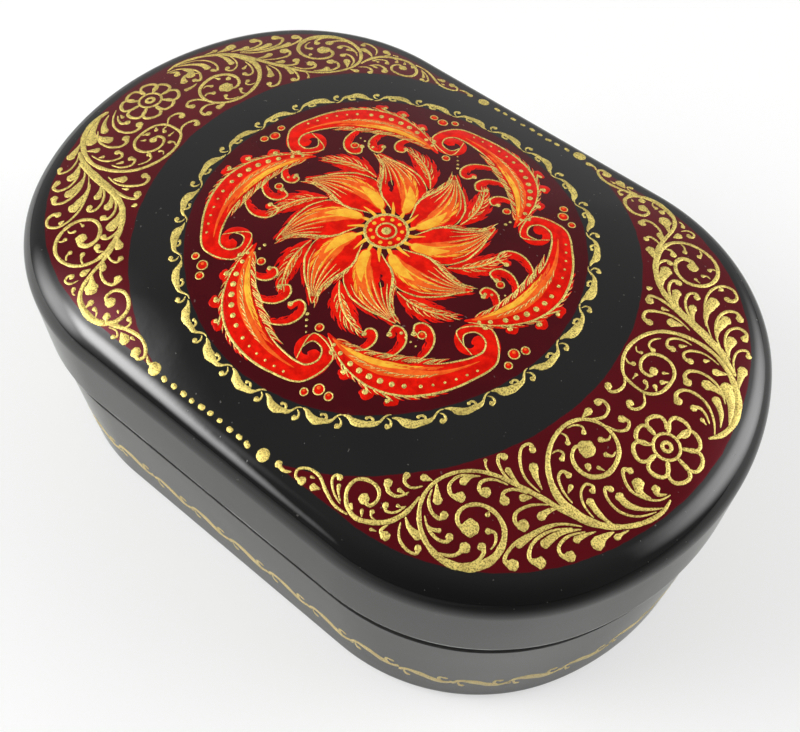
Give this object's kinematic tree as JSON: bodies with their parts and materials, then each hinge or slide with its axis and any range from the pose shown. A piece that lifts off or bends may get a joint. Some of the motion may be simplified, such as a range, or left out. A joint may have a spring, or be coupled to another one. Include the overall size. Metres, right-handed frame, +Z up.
{
  "type": "oval lacquer box",
  "caption": "Oval papier-mache box with straight sides, a domed lift-off lid that slides over an inner collar, and a flat foot.",
  "frame": {"origin": "centre of the flat face that the box stands on", "axes": "+X along the box towards the rounded end nearest the camera, +Y across it, +Z up through the lid"},
  "size_m": [0.0954, 0.064, 0.0393],
  "materials": {
    "black_lacquer_foot": "gloss",
    "black_lacquer_base": "gloss",
    "red_lacquer": "gloss",
    "black_lacquer_lid": "gloss",
    "black_lacquer_top": "gloss"
  },
  "bodies": {
    "base": {"base_bottom": "black_lacquer_foot", "base_side": "black_lacquer_base", "collar": "red_lacquer"},
    "lid": {"lid_side": "black_lacquer_lid", "lid_top": "black_lacquer_top"}
  },
  "joints": [
    {"name": "lid_lift", "type": "slide", "parent": "base", "child": "lid", "axis": [0, 0, 1], "range_m": [0, 0.06]}
  ]
}
